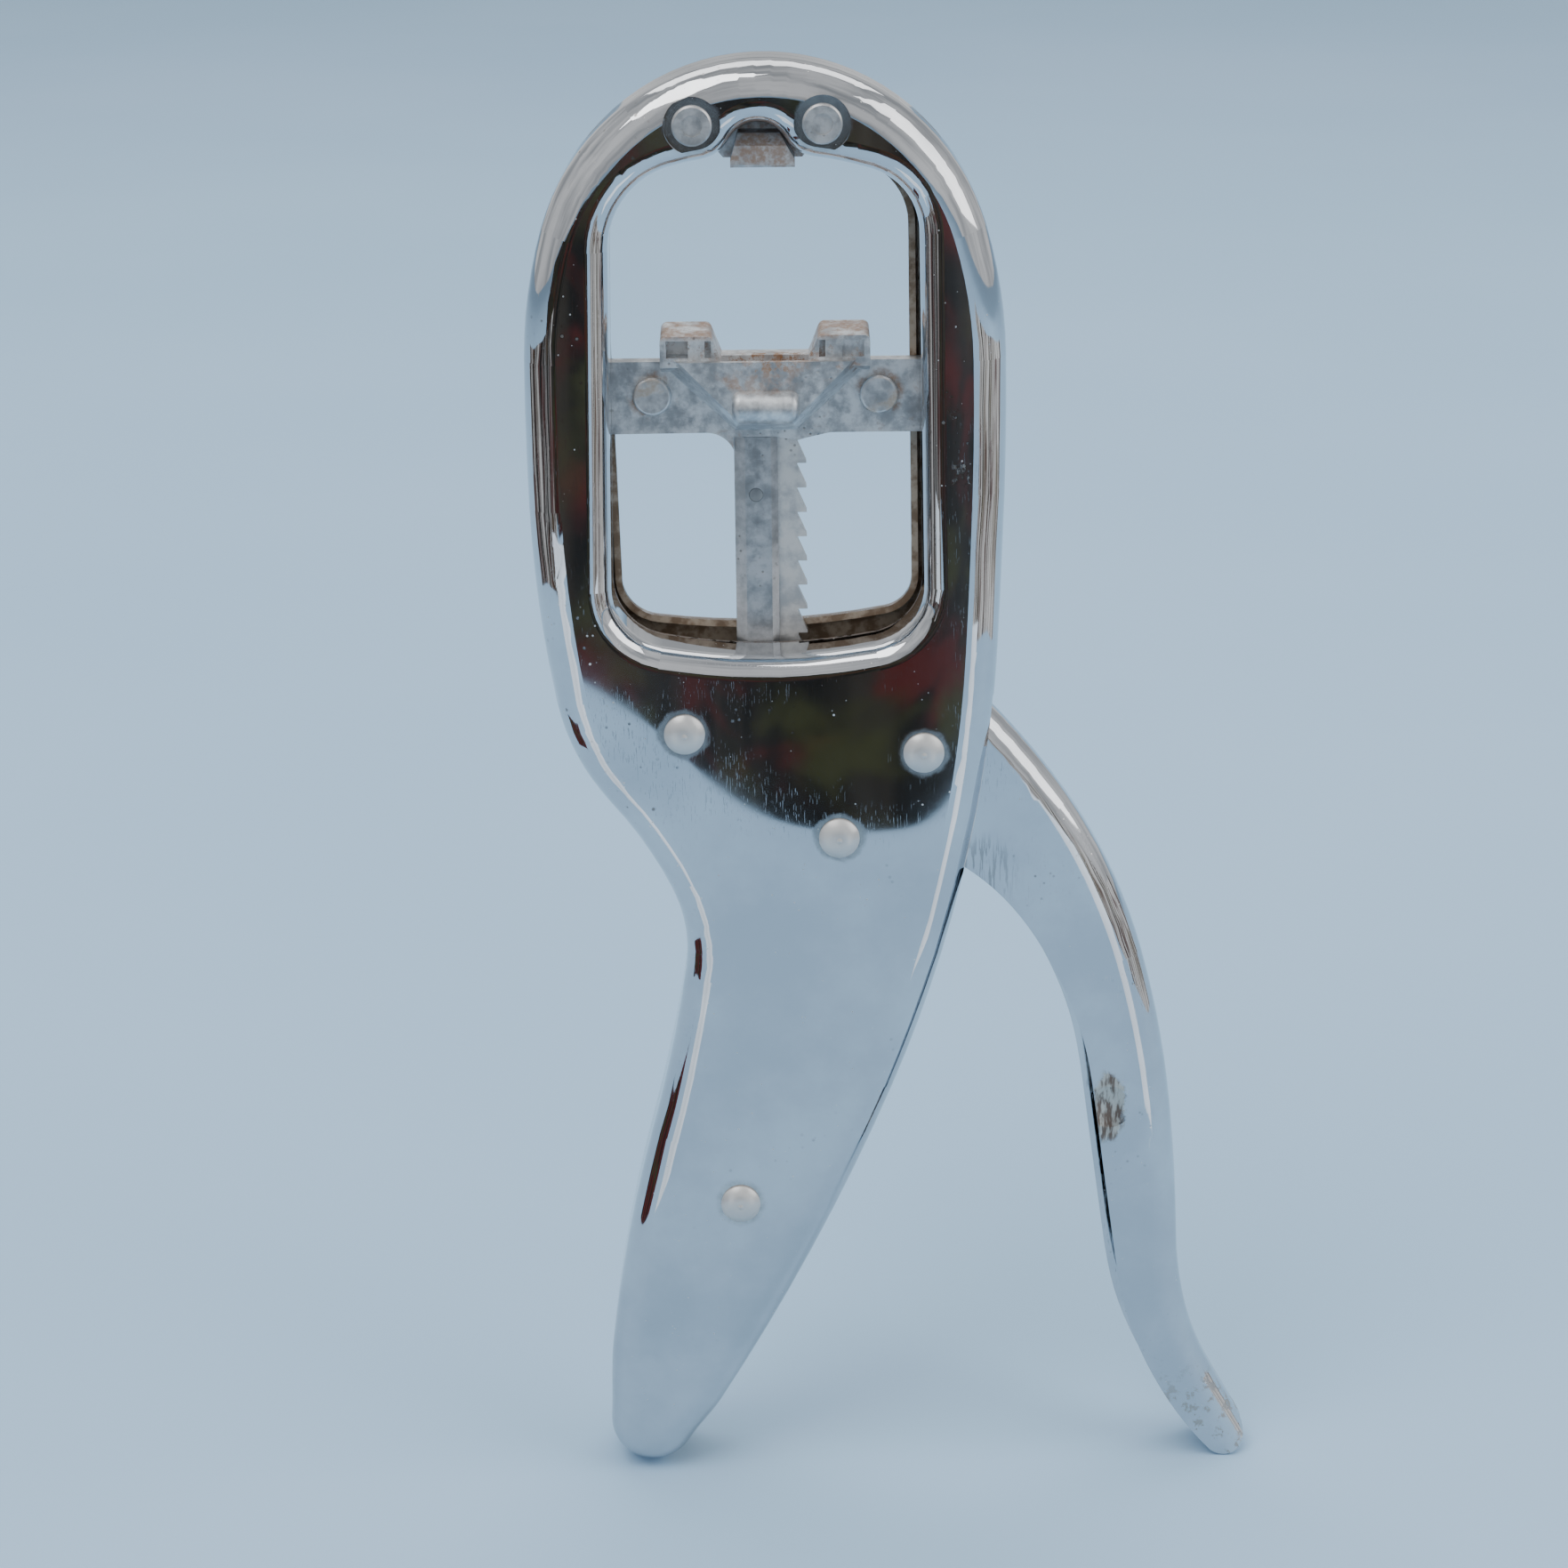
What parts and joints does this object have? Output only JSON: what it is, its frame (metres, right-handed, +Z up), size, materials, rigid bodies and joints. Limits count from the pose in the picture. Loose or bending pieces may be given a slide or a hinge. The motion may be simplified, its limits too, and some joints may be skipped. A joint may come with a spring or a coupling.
{
  "type": "citrus press",
  "caption": "Hand-squeezed ratchet press: chromed body with an oval press window, sliding toothed jaw, fixed top jaw and a curved squeeze lever.",
  "frame": {"origin": "on the rack's centre line in the grip, about a third of the way up the handle, where the palm closes round it", "axes": "+Z runs up the rack towards the fixed jaw, +Y from the front shell to the rear shell, +X towards the squeeze lever"},
  "size_m": [0.1106, 0.0198, 0.2239],
  "materials": {
    "chrome_body": "bright chrome with fine wear and small pits",
    "chrome_lever": "bright chrome with scratches",
    "rivet_aluminium": "bright, slightly worn",
    "rivet_steel": "dulled grey",
    "jaw_metal": "dull cast metal with brown stains",
    "stud_steel": "burnished with dark edges",
    "stem_steel": "satin",
    "rack_steel": "rough sheared",
    "steel_inner": "plain",
    "spring_steel": "drawn wire"
  },
  "bodies": {
    "body": {"front_shell": "chrome_body", "rear_shell": "chrome_body", "shell_rivets": "rivet_aluminium", "pivot_rivet": "rivet_aluminium", "rivet_washers": "rivet_aluminium", "jaw_rivets": "rivet_steel", "jaw_spacers": "steel_inner", "fixed_jaw": "jaw_metal", "rack_guide": "steel_inner", "handle_spacer": "steel_inner", "pivot_bush": "steel_inner", "pawl_spacers": "steel_inner", "spring_anchor": "steel_inner", "holding_pawl_spring": "spring_steel"},
    "squeeze_lever": {"lever": "chrome_lever", "drive_pawl_pin": "steel_inner", "drive_pawl_spacer": "steel_inner", "drive_pawl_spring": "spring_steel", "lever_spring": "spring_steel"},
    "carriage": {"moving_jaw": "jaw_metal", "back_plate": "steel_inner", "jaw_studs": "stud_steel", "stem": "stem_steel", "rack": "rack_steel", "stem_rivets": "steel_inner"},
    "drive_pawl": {"drive_pawl": "steel_inner"},
    "holding_pawl": {"holding_pawl": "steel_inner"}
  },
  "joints": [
    {"name": "lever_pivot", "type": "hinge", "parent": "body", "child": "squeeze_lever", "pos_m": [0.023, 0, 0.0667], "axis": [0, 1, 0], "range_deg": [0, 27], "stiffness_Nm_per_rad": 0.3, "springref_deg": -28.65, "deforming": ["lever_spring"]},
    {"name": "carriage_slide", "type": "slide", "parent": "body", "child": "carriage", "axis": [0, 0, 1], "range_m": [-0.02625, 0.01875]},
    {"name": "drive_pawl_pivot", "type": "hinge", "parent": "squeeze_lever", "child": "drive_pawl", "pos_m": [0.0158, 0, 0.0587], "axis": [0, -1, 0], "range_deg": [0, 28.7], "stiffness_Nm_per_rad": 0.002, "springref_deg": -28.65, "deforming": ["drive_pawl_spring"]},
    {"name": "holding_pawl_pivot", "type": "hinge", "parent": "body", "child": "holding_pawl", "pos_m": [0.0103, 0, 0.0533], "axis": [0, -1, 0], "range_deg": [0, 25], "stiffness_Nm_per_rad": 0.002, "springref_deg": -28.65, "deforming": ["holding_pawl_spring"]}
  ]
}
